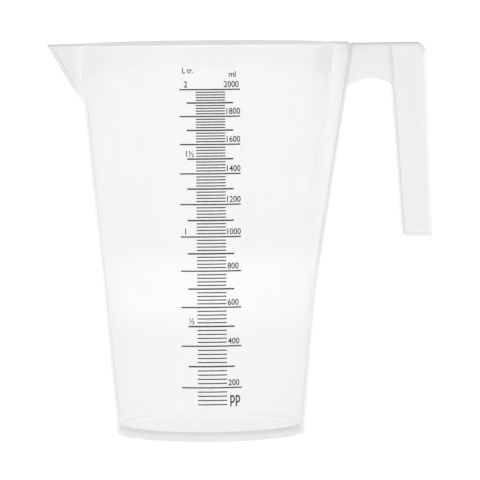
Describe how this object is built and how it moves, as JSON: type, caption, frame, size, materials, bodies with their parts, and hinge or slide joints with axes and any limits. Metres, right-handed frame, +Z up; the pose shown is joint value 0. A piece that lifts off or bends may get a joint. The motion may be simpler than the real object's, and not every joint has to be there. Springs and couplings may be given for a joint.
{
  "type": "measuring jug",
  "caption": "Stackable translucent polypropylene measuring jug with a pouring spout, an open-ended channel handle and a printed graduated scale on its front.",
  "frame": {"origin": "on the plane of symmetry at the foot's resting plane, midway between the spout's tip and the grip's far edge", "axes": "+Z up through the rim, +X from the spout to the handle, -Y out of the front that carries the scale"},
  "size_m": [0.2088, 0.1418, 0.2125],
  "materials": {
    "polypropylene": "natural translucent polypropylene, smooth satin gloss as moulded",
    "black_ink": "printed black ink, matt"
  },
  "bodies": {
    "root": {"cup": "polypropylene", "handle": "polypropylene", "mark_0200_ml": "black_ink", "mark_0300_ml": "black_ink", "mark_0400_ml": "black_ink", "mark_0500_ml": "black_ink", "mark_0600_ml": "black_ink", "mark_0700_ml": "black_ink", "mark_0800_ml": "black_ink", "mark_0900_ml": "black_ink", "mark_1000_ml": "black_ink", "mark_1100_ml": "black_ink", "mark_1200_ml": "black_ink", "mark_1300_ml": "black_ink", "mark_1400_ml": "black_ink", "mark_1500_ml": "black_ink", "mark_1600_ml": "black_ink", "mark_1700_ml": "black_ink", "mark_1800_ml": "black_ink", "mark_1900_ml": "black_ink", "mark_2000_ml": "black_ink"}
  },
  "joints": []
}
